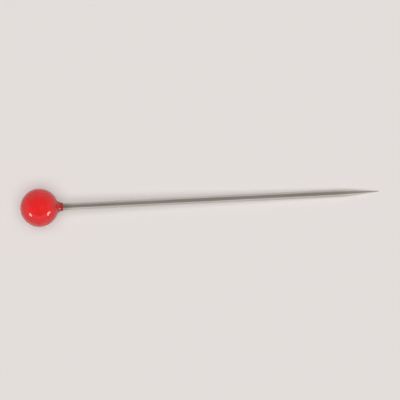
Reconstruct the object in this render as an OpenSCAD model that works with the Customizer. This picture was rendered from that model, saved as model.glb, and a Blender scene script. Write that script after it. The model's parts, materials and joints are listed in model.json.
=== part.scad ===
// Straight pin with a glass head: a nickel-plated steel wire, ground to a point at one end,
// with an opaque glass bead melted on round the other.
//
// Each piece is turned about its own Z axis, which runs from the centre of the bead to the tip.
// The pin then lies as it comes to rest on a table, on the bead and on the shoulder of its
// point, which leaves the tip itself just clear of the surface.
// The origin is on that surface, under the middle of the pin, and +X runs towards the tip.

/* [Pin] */
// Length over all, from the crown of the bead to the tip
pin_length = 30; // [20:0.5:60]

/* [Wire] */
// Diameter of the drawn wire
wire_d = 0.6; // [0.4:0.05:1]
// How far the wire reaches into the bead, from the side that it enters
set_depth = 2; // [1:0.1:2.3]
// How much thinner the flame leaves the cut end, which scales inside the glass
scaled_off = 0.04; // [0.02:0.01:0.1]
// Chamfer round the cut end
cut_chamfer = 0.05; // [0.02:0.01:0.1]

/* [Point] */
// Included angle of the ground cone, in degrees
point_angle = 12; // [9:0.5:30]
// Radius of the ground shoulder between the cone and the wire
shoulder_r = 15; // [5:1:25]
// Radius of the tip
tip_r = 0.02; // [0.01:0.005:0.05]

/* [Bead] */
// Diameter of the glass bead
bead_d = 3.2; // [2.6:0.05:5]
// Radius of the hollow curve by which the glass runs out along the wire
neck_r = 0.5; // [0.3:0.05:1.2]
// Thickness of the glass where it ends on the wire
lip = 0.06; // [0.03:0.01:0.12]

/* [Hidden] */

// Angles that one step turns through, on a rounded edge, a curve and the long, flat shoulder
edge_step = 18;
curve_step = 5;
shoulder_step = 0.75;
// The neck's outline starts this share inside the bead's surface, so that the two cross cleanly
neck_start = 0.999;
$fn = 96;

wire_r = wire_d / 2;
bead_r = bead_d / 2;

// Distance from the centre of the bead to the tip
reach = pin_length - bead_r;

// The point, measured back from the tip: the cone touches the tip's radius, and the shoulder's
// arc touches both the cone and the wire
cone_angle = point_angle / 2;
cone_apex = tip_r - tip_r / sin(cone_angle);
corner = cone_apex + wire_r / tan(cone_angle);
point_length = corner + shoulder_r * tan(cone_angle / 2);

// Centre of the neck's hollow curve, which touches the bead and ends square to the lip
neck_x = wire_r + lip + neck_r;
neck_z = sqrt(pow(bead_r + neck_r, 2) - pow(neck_x, 2));

// Lengths of wire from the tip: up to the edge of the glass, and in all
bare_length = reach - neck_z - lip;
wire_length = reach - bead_r + set_depth;

// Tilt of the resting pin. The table touches the bead and the shoulder's arc, or else the bead
// and the tip, where the cone is too slim for its shoulder to reach down
shoulder_x = shoulder_r - wire_r;
shoulder_z = reach - point_length;
shoulder_tilt = atan2(shoulder_x, shoulder_z)
    + asin((bead_r - shoulder_r) / norm([shoulder_x, shoulder_z]));
tip_tilt = asin((bead_r - tip_r) / (reach - tip_r));
rest_tilt = shoulder_tilt <= cone_angle ? shoulder_tilt : tip_tilt;

// Where the bead's centre lies, so that the pin's length is centred on the origin
bead_x = (bead_r - tip_r - (reach - tip_r) * cos(rest_tilt)) / 2;

// Points along an arc round centre, from one angle to another, no more than step degrees apart
function arc(centre, r, from, to, step) =
    let (steps = ceil(abs(to - from) / step))
    [
        for (i = [0:steps])
            let (a = from + (to - from) * i / steps)
            centre + r * [cos(a), sin(a)]
    ];

// A list of points without its first
function rest(points) = [for (i = [1:len(points) - 1]) points[i]];

// Half outline of the wire, with the tip at the origin and the wire above it
function wire_outline() =
    let (cut_r = wire_r - scaled_off)
    concat(
        arc([0, tip_r], tip_r, -90, -cone_angle, edge_step),
        arc([-shoulder_x, point_length], shoulder_r, -cone_angle, 0, shoulder_step),
        [
            [wire_r, bare_length],
            [cut_r, wire_length - cut_chamfer],
            [cut_r - cut_chamfer, wire_length],
            [0, wire_length]
        ]
    );

// Half outline of the neck: the hollow curve away from the bead, then the rounded lip
function neck_outline() =
    let (
        turn = atan2(neck_z, neck_x),
        hollow = arc([neck_x, neck_z], neck_r, 180 + turn, 180, curve_step),
        edge = arc([wire_r, neck_z], lip, 0, 90, edge_step)
    )
    concat(
        [[0, 0], neck_start * hollow[0]],
        rest(hollow),
        rest(edge),
        [[0, neck_z + lip]]
    );

// Turned wire, in the bead's frame: its tip lies at the pin's reach
module wire()
    translate([0, 0, reach])
        mirror([0, 0, 1])
            rotate_extrude()
                polygon(wire_outline());

// Lays a piece down in the resting pose
module at_rest()
    translate([bead_x, 0, bead_r])
        rotate([0, 90 + rest_tilt, 0])
            children();

module steel_shaft()
    color([0.72, 0.70, 0.66])
        at_rest()
            wire();

// The glass takes the wire's own form for its socket, because it was molten when it met it
module glass_head()
    color([0.80, 0.05, 0.06])
        at_rest()
            difference() {
                union() {
                    sphere(r = bead_r);
                    rotate_extrude()
                        polygon(neck_outline());
                }
                wire();
            }

glass_head();
steel_shaft();
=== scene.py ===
# %% [markdown]
# # A straight pin with a glass head
#
# The object is a sewing pin, thirty millimetres long. It has two pieces. One is a length of drawn
# steel wire with a bright nickel plating, which is ground to a needle point. The other is a bead
# of opaque red glass, melted on round the wire's blunt end. This lesson models both pieces by hand
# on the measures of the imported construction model, gives each its finish, and lights them.

# %% Load the frame
import json
import math

import bmesh
import bpy
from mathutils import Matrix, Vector


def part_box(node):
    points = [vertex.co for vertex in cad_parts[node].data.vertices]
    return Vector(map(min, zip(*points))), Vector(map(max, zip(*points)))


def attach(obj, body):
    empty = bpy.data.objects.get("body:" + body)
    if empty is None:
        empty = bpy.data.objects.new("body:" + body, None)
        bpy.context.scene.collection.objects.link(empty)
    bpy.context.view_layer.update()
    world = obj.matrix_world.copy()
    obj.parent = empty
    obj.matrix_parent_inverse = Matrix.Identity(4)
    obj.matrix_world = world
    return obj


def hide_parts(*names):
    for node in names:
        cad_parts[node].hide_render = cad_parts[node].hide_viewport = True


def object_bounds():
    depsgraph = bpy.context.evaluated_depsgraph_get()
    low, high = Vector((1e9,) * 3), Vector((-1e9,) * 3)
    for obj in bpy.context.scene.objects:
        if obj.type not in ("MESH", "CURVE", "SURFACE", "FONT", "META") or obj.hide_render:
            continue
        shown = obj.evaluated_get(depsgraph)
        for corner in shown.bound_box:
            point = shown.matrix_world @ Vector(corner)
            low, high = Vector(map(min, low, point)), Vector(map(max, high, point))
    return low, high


MM = 0.001


def in_mm(box):
    """The two corners of a box in millimetres, rounded to be read."""
    return [[round(x / MM, 3) for x in corner] for corner in box]


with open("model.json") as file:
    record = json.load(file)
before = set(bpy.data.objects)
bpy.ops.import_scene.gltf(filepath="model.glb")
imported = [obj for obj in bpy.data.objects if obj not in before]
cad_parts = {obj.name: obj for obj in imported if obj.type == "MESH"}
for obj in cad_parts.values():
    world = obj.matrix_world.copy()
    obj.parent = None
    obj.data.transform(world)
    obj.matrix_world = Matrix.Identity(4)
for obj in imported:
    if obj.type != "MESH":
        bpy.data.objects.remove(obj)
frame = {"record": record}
cad_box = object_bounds()
print("construction model, in mm:", in_mm(cad_box))

# %% [markdown]
# ## Measures
#
# Nothing is fitted by eye. The wire's radius, its direction and its place come from the shaft's
# mount in the record. The bead's radius comes from the box of its node, and because the bead
# rests on the table, its centre lies one radius up. The tip is a tiny ball that touches the far
# end of the wire's box, so the centre of that ball lies one tip radius short of it. The few sizes
# that nothing here gives, such as the hollow curve of the neck, are named as real sizes.

# %% Measures of the pin
same_place = 0.0001 * MM

shaft = next(mount for mount in frame["record"]["mounts"] if mount["name"] == "shaft")
axis = Vector(shaft["axis"]).normalized()
wire_r = shaft["dims"]["r_mm"] * MM
shaft_middle = Vector(shaft["pos_m"])

bead_low, bead_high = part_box("glass_head")
wire_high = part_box("steel_shaft")[1]
bead_r = (bead_high.y - bead_low.y) / 2
bead_centre = Vector((bead_low.x + bead_r, 0, bead_r))
tilt = math.atan2(-axis.z, axis.x)

neck_r = 0.5 * MM
lip = 0.06 * MM
# Centre of the neck's hollow curve, which touches the bead and ends square to the lip
neck_x = wire_r + lip + neck_r
neck_z = math.sqrt((bead_r + neck_r) ** 2 - neck_x ** 2)

shank_half = shaft["dims"]["length_mm"] * MM / 2
shank_end = (shaft_middle - bead_centre).dot(axis) + shank_half
tip_r = 0.02 * MM
reach = (wire_high.x - tip_r - bead_centre.x) / axis.x + tip_r
point_angle = math.radians(12)
cone_angle = point_angle / 2
shoulder_r = 15 * MM

set_depth = 2 * MM
scaled_off = 0.04 * MM
cut_chamfer = 0.05 * MM
cut_end = bead_r - set_depth

print("wire radius", round(wire_r / MM, 3), "bead radius", round(bead_r / MM, 4))
print("tilt", round(math.degrees(tilt), 3), "degrees, tip", round(reach / MM, 3), "mm from the bead")

# %% [markdown]
# ## Working in edit mode from a script
#
# An operator acts on whatever is selected, so each step has to say what that is. These short
# helpers clear the selection, and extrude the selected ring one step along the axis while it
# takes a new radius. That is how a lathe hand would think: so far along, so wide. Such a pair is
# called a station here, and a round stretch is an arc of stations. The last helper measures what
# a step has made.

# %% Helpers for modelling
def deselect_all():
    """Leaves nothing selected that the next operator could act on."""
    bpy.ops.object.select_all(action="DESELECT")


def extrude_ring(rise, growth, height):
    """Extrudes the selected ring along the axis, and scales it to its new radius."""
    bpy.ops.mesh.extrude_region_move(TRANSFORM_OT_translate={"value": (0, 0, rise)})
    bpy.ops.transform.resize(value=(growth, growth, 1), center_override=(0, 0, height))


def turn(stations):
    """Extrudes the selected ring through a list of (height, radius) stations, after the first."""
    for (height, radius), (next_height, next_radius) in zip(stations, stations[1:]):
        extrude_ring(next_height - height, next_radius / radius, next_height)


def arc(centre, radius, start, end, steps):
    """Stations along an arc in the half plane, its centre and its points given as (height, radius)."""
    angles = [start + (end - start) * i / steps for i in range(steps + 1)]
    return [(centre[0] + radius * math.sin(a), centre[1] + radius * math.cos(a)) for a in angles]


def report(piece):
    """Prints a piece's size and volume, and how many edges don't join exactly two faces."""
    mesh = bmesh.new()
    mesh.from_mesh(piece.data)
    open_edges = sum(len(edge.link_faces) != 2 for edge in mesh.edges)
    volume = mesh.calc_volume(signed=True)
    mesh.free()
    size = [round(side / MM, 3) for side in piece.dimensions]
    print(piece.name, "measures", size, "mm, in", len(piece.data.polygons), "faces")
    print("    volume", round(volume / MM ** 3, 2), "cubic mm, open edges", open_edges)


# %% [markdown]
# ## The wire
#
# On the real pin this is drawn wire, cut to length and ground to a point. It could be a cylinder
# with a cone put on, but the grinder leaves no corner between the two: the wheel's soft edge
# blends them in a long, flat shoulder. So the wire starts as a circle at its hidden cut end, and
# that ring is extruded station by station: out through the glass, along the shank, round the
# shoulder's arc, down the cone, and over the small round tip. It is shaded smooth wherever it
# turns by less than 30 degrees, so that only the cut end keeps its edges.

# %% Stations of the wire
around = 96
shank_steps = 24
shoulder_steps = 12
cone_steps = 6
tip_steps = 4

glass_end = neck_z + lip
buried = [(cut_end, wire_r - scaled_off - cut_chamfer), (cut_end + cut_chamfer, wire_r - scaled_off)]
shank = [
    (glass_end + (shank_end - glass_end) * i / shank_steps, wire_r)
    for i in range(shank_steps + 1)
]
shoulder = arc((shank_end, wire_r - shoulder_r), shoulder_r, 0, cone_angle, shoulder_steps)
tip = arc((reach - tip_r, 0), tip_r, cone_angle, math.pi / 2, tip_steps)
cone_start, cone_end = shoulder[-1], tip[0]
cone = [
    tuple(a + (b - a) * i / cone_steps for a, b in zip(cone_start, cone_end))
    for i in range(1, cone_steps)
]
wire_stations = buried + shank + shoulder[1:] + cone + tip[:-1]
print(len(wire_stations), "stations, the cone", round((cone_end[0] - cone_start[0]) / MM, 2), "mm long")

# %% Turn the wire
smooth_below = math.radians(30)

deselect_all()
bpy.ops.mesh.primitive_circle_add(
    vertices=around, radius=buried[0][1], fill_type="NGON", location=(0, 0, buried[0][0])
)
wire = bpy.context.object
wire.name = "ground_wire"
bpy.ops.object.transform_apply(location=True, rotation=True, scale=True)
bpy.ops.object.mode_set(mode="EDIT")
bpy.ops.mesh.select_all(action="SELECT")
turn(wire_stations)
# The last ring is extruded once more and drawn together, as the very tip
bpy.ops.mesh.extrude_region_move(TRANSFORM_OT_translate={"value": (0, 0, reach - wire_stations[-1][0])})
bpy.ops.mesh.merge(type="CENTER")
bpy.ops.mesh.select_all(action="SELECT")
bpy.ops.mesh.remove_doubles(threshold=same_place)
bpy.ops.mesh.normals_make_consistent(inside=False)
bpy.ops.object.mode_set(mode="OBJECT")
bpy.ops.object.shade_smooth_by_angle(angle=smooth_below)
report(wire)

# %% [markdown]
# ## The bead
#
# The maker turns the wire in a flame while soft glass winds on round its end, and surface tension
# pulls the glass into a ball. Where the glass wets the steel it does not stop dead: it runs out
# along the wire in a small hollow neck. A sphere stuck on a cylinder would lose exactly that. So
# the sphere is cut at the height where the hollow curve touches it. Its open rim is picked by its
# place and extruded along that curve to the thin rounded lip, then back down inside as the socket
# for the wire. The cut gets a threshold of its own: Bisect takes vertices within a tenth of a
# millimetre of its plane as lying on it, and on a bead this small that is seven rings of it.

# %% Select by place
def select_where(piece, rule):
    """Selects the vertices whose place passes the rule, and the edges and faces that they span."""
    mesh = bmesh.from_edit_mesh(piece.data)
    mesh.select_mode = {"VERT"}
    for vertex in mesh.verts:
        vertex.select = rule(vertex.co)
    mesh.select_flush_mode()
    bmesh.update_edit_mesh(piece.data)


# %% Turn the bead
rings = 72
neck_steps = 14
lip_steps = 4

touch_angle = math.atan2(neck_z, neck_x)
touch_height = bead_r * math.sin(touch_angle)
hollow = arc((neck_z, neck_x), neck_r, math.pi + touch_angle, math.pi, neck_steps)
lip_edge = arc((neck_z, wire_r), lip, 0, math.pi / 2, lip_steps)
socket = buried[::-1]

deselect_all()
bpy.ops.mesh.primitive_uv_sphere_add(segments=around, ring_count=rings, radius=bead_r)
bead = bpy.context.object
bead.name = "red_bead"
bpy.ops.object.mode_set(mode="EDIT")
bpy.ops.mesh.select_all(action="SELECT")
bpy.ops.mesh.bisect(
    plane_co=(0, 0, touch_height), plane_no=(0, 0, 1), clear_outer=True, threshold=same_place
)
select_where(bead, lambda place: place.z > touch_height - same_place)
turn(hollow + lip_edge[1:] + socket)
# The last ring is filled, as the bottom of the socket
bpy.ops.mesh.edge_face_add()
bpy.ops.mesh.select_all(action="SELECT")
bpy.ops.mesh.remove_doubles(threshold=same_place)
bpy.ops.mesh.normals_make_consistent(inside=False)
bpy.ops.object.mode_set(mode="OBJECT")
bpy.ops.object.shade_smooth_by_angle(angle=smooth_below)
report(bead)

# %% [markdown]
# ## The bead's unevenness
#
# No two of these beads are quite alike, because each one cools as it was wound. A Displace
# modifier with a soft cloud pattern moves the ball in and out by a hundredth or two of a
# millimetre. A second one moves the lip to and fro along the wire, because the glass never wets
# the steel to the same line all round. Vertex groups share the work: one is full on the ball and
# fades out before the neck, the other is full at the lip, and the socket has no weight in either.

# %% Make the bead uneven
lump_width = 1.3 * MM
lump_height = 0.05 * MM
lump_fade = bead_r / 2
wave_width = 0.45 * MM
wave_height = 0.12 * MM
just_inside = 0.99


def roughen(piece, name, weigh, width, height, direction):
    """Displaces a piece by a soft cloud pattern, as far as each vertex's weight lets it."""
    group = piece.vertex_groups.new(name=name)
    for vertex in piece.data.vertices:
        group.add([vertex.index], min(1, max(0, weigh(vertex.co))), "REPLACE")
    clouds = bpy.data.textures.new(name, "CLOUDS")
    clouds.noise_scale = width
    clouds.noise_depth = 1
    uneven = piece.modifiers.new(name, "DISPLACE")
    uneven.texture = clouds
    uneven.texture_coords = "LOCAL"
    uneven.direction = direction
    uneven.strength = height
    uneven.mid_level = 0.5
    uneven.vertex_group = name
    bpy.context.view_layer.objects.active = piece
    bpy.ops.object.modifier_apply(modifier=name)


def ball_share(place):
    """How far a place on the ball gives way: fully, but less and less towards the neck."""
    outside = place.length > bead_r * just_inside
    return (touch_height - place.z) / lump_fade if outside else 0


def lip_share(place):
    """How far a place on the neck gives way: more and more towards the lip, and not inside."""
    outside = place.xy.length > wire_r * just_inside
    return (place.z - bead_r) / (glass_end - bead_r) if outside else 0


roughen(bead, "ball", ball_share, lump_width, lump_height, "NORMAL")
roughen(bead, "lip", lip_share, wave_width, wave_height, "Z")
report(bead)

# %% [markdown]
# ## Lay the pin down
#
# Both pieces were made upright, because a lathe shape is easiest to think of along an axis. The
# real pin lies on the table on its bead and on the shoulder of its point, so both are turned down
# by the same angle and moved to the bead's centre. Applying that writes it into the meshes, and
# the objects stay unturned at the origin.

# %% Place the pieces on their body
def lay_down(piece):
    """Turns an upright piece into the resting pose and applies that to its mesh."""
    deselect_all()
    piece.select_set(True)
    bpy.context.view_layer.objects.active = piece
    piece.rotation_euler = (0, math.pi / 2 + tilt, 0)
    piece.location = bead_centre
    bpy.ops.object.transform_apply(location=True, rotation=True, scale=True)


pieces = (
    (wire, "steel_shaft", "nickel_plated_steel"),
    (bead, "glass_head", "red_glass"),
)
for piece, node, slot in pieces:
    lay_down(piece)
    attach(piece, "root")
    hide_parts(node)
    report(piece)

# %% [markdown]
# ## Shader maths in plain Python
#
# A material is a graph of nodes, and written node by node its arithmetic is hard to read. This
# class wraps one socket. Sums and products of such sockets add the Math nodes by themselves, so a
# mask can be written as `1 - edge * 0.5`, and one method adds any other node.

# %% A class for sockets
def fill(node, inputs):
    """Links each named socket of a node to a signal, or sets it to a plain value."""
    for name, value in inputs.items():
        if isinstance(value, Signal):
            node.id_data.links.new(value.socket, node.inputs[name])
        else:
            node.inputs[name].default_value = value


class Signal:
    """One socket of a node tree, with the arithmetic that the finishes below need."""

    def __init__(self, socket):
        self.socket = socket

    def node(self, kind, settings, inputs, output=0):
        """Adds a node, applies its settings, then sets or links its sockets."""
        made = self.socket.id_data.nodes.new(kind)
        for name, setting in settings.items():
            setattr(made, name, setting)
        fill(made, inputs)
        return Signal(made.outputs[output])

    def maths(self, operation, *values):
        """Adds a Math node on these values, in their order."""
        return self.node("ShaderNodeMath", {"operation": operation}, dict(enumerate(values)))

    def __add__(self, other):
        return self.maths("ADD", self, other)

    def __radd__(self, other):
        return self.maths("ADD", other, self)

    def __sub__(self, other):
        return self.maths("SUBTRACT", self, other)

    def __rsub__(self, other):
        return self.maths("SUBTRACT", other, self)

    def __mul__(self, other):
        return self.maths("MULTIPLY", self, other)

    def __rmul__(self, other):
        return self.maths("MULTIPLY", other, self)

    def either(self, other):
        """1 where at least one of two masks is 1."""
        return self.maths("MAXIMUM", self, other)

    def between(self, low, high):
        """0 at low, 1 at high, and a smooth change between them."""
        limits = {"Value": self, "From Min": low, "From Max": high}
        return self.node("ShaderNodeMapRange", {"interpolation_type": "SMOOTHSTEP"}, limits)

    def stretched(self, x, y, z):
        """The same place with each axis scaled, which stretches a pattern that is read there."""
        scaled = {0: self, 1: (x, y, z)}
        return self.node("ShaderNodeVectorMath", {"operation": "MULTIPLY"}, scaled)

    def noise(self, scale=1.0, detail=2.0):
        """Soft noise from 0 to 1, with about that many features to a millimetre."""
        return self.node("ShaderNodeTexNoise", {}, {"Vector": self, "Scale": scale, "Detail": detail})

    def blend(self, first, second):
        """A mix of two colours, with this signal as the share of the second."""
        # The Mix node has sockets for each kind of data, and these numbers are those for colours
        colours = {0: self, 6: first, 7: second}
        return self.node("ShaderNodeMix", {"data_type": "RGBA"}, colours, output=2)

    def bump(self, depth):
        """The surface normal that this signal gives as a height, where 1 is that deep."""
        return self.node("ShaderNodeBump", {}, {"Height": self, "Strength": 1.0, "Distance": depth})


# %% [markdown]
# ## A material in the pin's own frame
#
# Every pattern on the pin follows its axis: draw lines run along the wire, and streaks in the
# glass run round it. So both materials start from Object coordinates and turn them with a Mapping
# node into the pin's own frame, in millimetres, with X along the pin from the bead's centre.

# %% Start a material
def start_material(name, piece):
    """Gives a piece a new material. Returns its surface, the place in the pin's frame, and its X."""
    material = bpy.data.materials.new(name)
    material.use_nodes = True
    piece.data.materials.clear()
    piece.data.materials.append(material)
    tree = material.node_tree
    here = Signal(tree.nodes.new("ShaderNodeTexCoord").outputs["Object"])
    frame_of_pin = {
        "Vector": here,
        "Location": bead_centre,
        "Rotation": (0, tilt, 0),
        "Scale": (MM, MM, MM),
    }
    place = here.node("ShaderNodeMapping", {"vector_type": "TEXTURE"}, frame_of_pin)
    along = place.node("ShaderNodeSeparateXYZ", {}, {"Vector": place})
    return tree.nodes["Principled BSDF"], place, along


# %% [markdown]
# ## Red glass
#
# The glass is opaque and deeply coloured, so a refracting shader would be slow and wrong: the
# light goes in a little way, scatters on the pigment and comes out red. A Principled surface with
# a clear gloss and a short scatter under it does that. The colour drifts a little in streaks
# round the axis, as the glass was wound, and it darkens where the neck runs thin over the steel.
# A few pinholes, a few hundredths of a millimetre wide, are where bubbles reached the surface. The bump
# dents them, and their darker red is painted shade in the pits.

# %% Red glass
deep_red = (0.80, 0.006, 0.008, 1)
bright_red = (0.93, 0.014, 0.014, 1)
neck_red = (0.34, 0.010, 0.008, 1)
# The darker red of the pinholes is painted shade in the pits
pinhole_shade_red = (0.22, 0.004, 0.005, 1)
glass_relief = 0.0025 * MM
thin_from = 0.75 * bead_r / MM
bubbles_per_mm = 1.5
pinhole_rim = 0.06
pinhole_core = 0.02

surface, place, along = start_material("red_glass", bead)
drift = place.noise(scale=0.9, detail=3.0)
streaks = place.stretched(2.6, 0.7, 0.7).noise()
red = (drift * 0.6 + streaks * 0.4).between(0.3, 0.7).blend(deep_red, bright_red)
thin_glass = along.between(thin_from, glass_end / MM)
red = thin_glass.blend(red, neck_red)
bubbles = place.node("ShaderNodeTexVoronoi", {}, {"Vector": place, "Scale": bubbles_per_mm})
pinholes = bubbles.between(pinhole_rim, pinhole_core)
# Painted shade: the pinholes are darkened, on top of the dents that the bump gives them
red = (pinholes * 0.6).blend(red, pinhole_shade_red)
peel = place.noise(scale=2.2, detail=1.0)
fill(surface, {
    "Base Color": red,
    "Roughness": 0.03 + 0.08 * drift,
    "Normal": (peel * 0.7 + streaks * 0.3 - pinholes * 1.5).bump(glass_relief),
    "IOR": 1.52,
    "Subsurface Weight": 0.15,
    "Subsurface Radius": (1.0, 0.08, 0.05),
    "Subsurface Scale": 0.25 * MM,
})
print("red glass has", len(surface.id_data.nodes), "nodes")

# %% [markdown]
# ## Nickel-plated steel
#
# Drawing pulls the wire through a die, which leaves fine lines along it, and the thin plating
# follows them. Nickel is a slightly warm grey, which in one even shade would look like plastic. So
# the lines are made as a noise that is stretched along the axis, and they feed the colour, the
# roughness and a bump of under a micrometre. On the point the wheel's fine rings run round the
# axis instead, so there the noise is squeezed along it. Beside the glass the flame has left a
# faint straw and brown tint.

# %% Nickel-plated steel
dark_nickel = (0.50, 0.475, 0.445, 1)
bright_nickel = (0.68, 0.65, 0.615, 1)
ground_nickel = (0.70, 0.675, 0.64, 1)
heat_brown = (0.34, 0.22, 0.12, 1)
steel_relief = 0.0004 * MM
ground_from = shank_end / MM - 0.3
ground_by = shank_end / MM + 0.9
heat_by = glass_end / MM
heat_from = heat_by + 0.9

surface, place, along = start_material("nickel_plated_steel", wire)
drawn = place.stretched(0.12, 14.0, 14.0).noise()
fine = place.stretched(0.5, 45.0, 45.0).noise(detail=1.0)
lines = (drawn * 0.6 + fine * 0.4).between(0.3, 0.7)
cloud = place.stretched(0.6, 2.0, 2.0).noise()
nickel = lines.blend(dark_nickel, bright_nickel)
ground = along.between(ground_from, ground_by)
wheel_rings = place.stretched(28.0, 1.5, 1.5).noise()
nickel = (ground * 0.5).blend(nickel, ground_nickel)
relief = (drawn * 0.8 + fine * 0.2) * (1 - ground) + wheel_rings * ground
heat = along.between(heat_from, heat_by)
nickel = (heat * 0.55).blend(nickel, heat_brown)
fill(surface, {
    "Base Color": nickel,
    "Metallic": 1.0,
    "Roughness": 0.08 + 0.09 * lines + 0.06 * cloud + 0.08 * ground,
    "Normal": relief.bump(steel_relief),
})
print("nickel-plated steel has", len(surface.id_data.nodes), "nodes")

# %% [markdown]
# ## Floor
#
# The pin lies on a plain, pale, faintly warm floor, a single plane far wider than any view of it.
# A pale floor throws so much light back that it washes the form out of a glossy bead. So the
# floor has two colours: the camera, the reflections and clear parts see the pale one, and the
# light that bounces off it takes a darker one. A Light Path node tells these rays apart. A third
# of the pale colour is a glow of its own, which only those rays see. It lightens the shadow
# beside a wire this thin, as the soft light of a tent does, and leaves the light on the pin.

# %% Tell the rays apart
def ray_is_seen(tree):
    """1 for rays from the camera, a reflection or a clear part, and 0 for rays that only light."""
    rays = tree.nodes.new("ShaderNodeLightPath").outputs
    camera_ray = Signal(rays["Is Camera Ray"])
    glossy_ray = Signal(rays["Is Glossy Ray"])
    clear_ray = Signal(rays["Is Transmission Ray"])
    return camera_ray.either(glossy_ray).either(clear_ray)


# %% Floor
floor_side = 2.0
floor_colour = Vector((0.77, 0.732, 0.710))
glow_share = 0.35
paper_seen = (*(floor_colour * (1 - glow_share)), 1)
glow_seen = (*(floor_colour * glow_share), 1)
paper_unseen = (0.48, 0.456, 0.442, 1)
no_glow = (0, 0, 0, 1)

deselect_all()
bpy.ops.mesh.primitive_plane_add(size=floor_side)
floor = bpy.context.object
floor.name = "floor"
paper = bpy.data.materials.new("pale_floor")
paper.use_nodes = True
# The glow is only looked at, so the floor is no lamp
paper.cycles.emission_sampling = "NONE"
floor.data.materials.append(paper)
seen = ray_is_seen(paper.node_tree)
fill(paper.node_tree.nodes["Principled BSDF"], {
    "Base Color": seen.blend(paper_unseen, paper_seen),
    "Emission Color": seen.blend(no_glow, glow_seen),
    "Emission Strength": 1.0,
    "Roughness": 0.9,
    "Specular IOR Level": 0.2,
})
print("floor", floor_side, "m wide, its material has", len(paper.node_tree.nodes), "nodes")

# %% [markdown]
# ## World
#
# Glass and polished metal show their surroundings more than a colour of their own, so the world
# is painted for them. What the camera and the reflections see is pale at the horizon and darker
# overhead, where the camera would hang, and a soft glow low in front draws the bright line on the
# lower side of the wire. What lights the pin is dim and even, which leaves its form to the lamps.
# Each direction is one unit long, so its Z is 0 at the horizon and 1 overhead, and its Y is -1
# straight in front. The glow comes and goes with Z, and it fades to the sides with Y.

# %% World
horizon = (0.74, 0.70, 0.68, 1)
overhead = (0.38, 0.36, 0.35, 1)
front_glow = (1.05, 1.005, 0.975, 1)
even_light = (0.08, 0.0775, 0.076, 1)

world = bpy.data.worlds.new("studio")
bpy.context.scene.world = world
world.use_nodes = True
background = world.node_tree.nodes["Background"]
towards = Signal(world.node_tree.nodes.new("ShaderNodeTexCoord").outputs["Object"])
height = towards.node("ShaderNodeSeparateXYZ", {}, {"Vector": towards}, output="Z")
depth = towards.node("ShaderNodeSeparateXYZ", {}, {"Vector": towards}, output="Y")
painted = height.between(0.1, 0.9).blend(horizon, overhead)
glow = height.between(0.15, 0.42) * height.between(0.75, 0.48) * depth.between(-0.3, -0.8)
painted = glow.blend(painted, front_glow)
sky = ray_is_seen(world.node_tree).blend(even_light, painted)
fill(background, {"Color": sky, "Strength": 1.0})
print("world has", len(world.node_tree.nodes), "nodes")

# %% [markdown]
# ## Lamps
#
# The main light is a large soft box overhead, only a little to the front. So the bead is brightest
# in its middle and darkens evenly towards its rim, and the shadows stay soft. The box is hidden
# from reflections, as a photographer would flag it off, or else it would lie as a white patch on
# the middle of the bead. Two small boxes, low in front at the left and right, give the bead its
# two window lights. They light the gloss alone, so that they don't flatten the ball's form. The
# level is one at which a colour renders about as it is written.

# %% Lamps
lamp_distance = 1.2
top_size = 1.2
top_power = 17.2
side_size = 0.32
side_power = 2.5


def add_soft_box(name, direction, size, power):
    """Adds a square area lamp in that direction from the pin, aimed at it."""
    place = Vector(direction).normalized() * lamp_distance
    aim = (-place).to_track_quat("-Z", "Y").to_euler()
    bpy.ops.object.light_add(type="AREA", location=place, rotation=aim)
    lamp = bpy.context.object
    lamp.name = name
    lamp.data.shape = "SQUARE"
    lamp.data.size = size
    lamp.data.energy = power
    return lamp


left_box = add_soft_box("left_box", (-0.80, -0.53, 0.29), side_size, side_power)
right_box = add_soft_box("right_box", (0.80, -0.51, 0.32), side_size, side_power)
left_box.visible_diffuse = False
right_box.visible_diffuse = False
top_box = add_soft_box("top_box", (0, -0.06, 1), top_size, top_power)
top_box.visible_glossy = False
for lamp in (left_box, right_box, top_box):
    print(lamp.name, round(lamp.data.size, 2), "m wide,", round(lamp.data.energy, 1), "W")

# %% [markdown]
# ## Camera
#
# The photograph looks square at the pin, with the head at the left and the tip raised by a few
# degrees. The pin lies down here, so the camera looks straight down at it, and it is turned by
# that angle round its own view. A very long lens stands well back, and keeps the perspective as
# flat as in the photograph.

# %% Camera
lens_length = 300.0
sensor = 36.0
pin_share = 0.90
tip_rise = math.radians(2.8)

frame_width = (cad_box[1].x - cad_box[0].x) / pin_share
camera_height = frame_width * lens_length / sensor + bead_r
bpy.ops.object.camera_add(location=(0, 0, camera_height), rotation=(0, 0, -tip_rise))
camera = bpy.context.object
camera.data.lens = lens_length
camera.data.sensor_width = sensor
camera.data.clip_start = 1 * MM
bpy.context.scene.camera = camera
bpy.context.scene.view_settings.view_transform = "Standard"
print("camera", round(camera_height / MM), "mm above the floor")
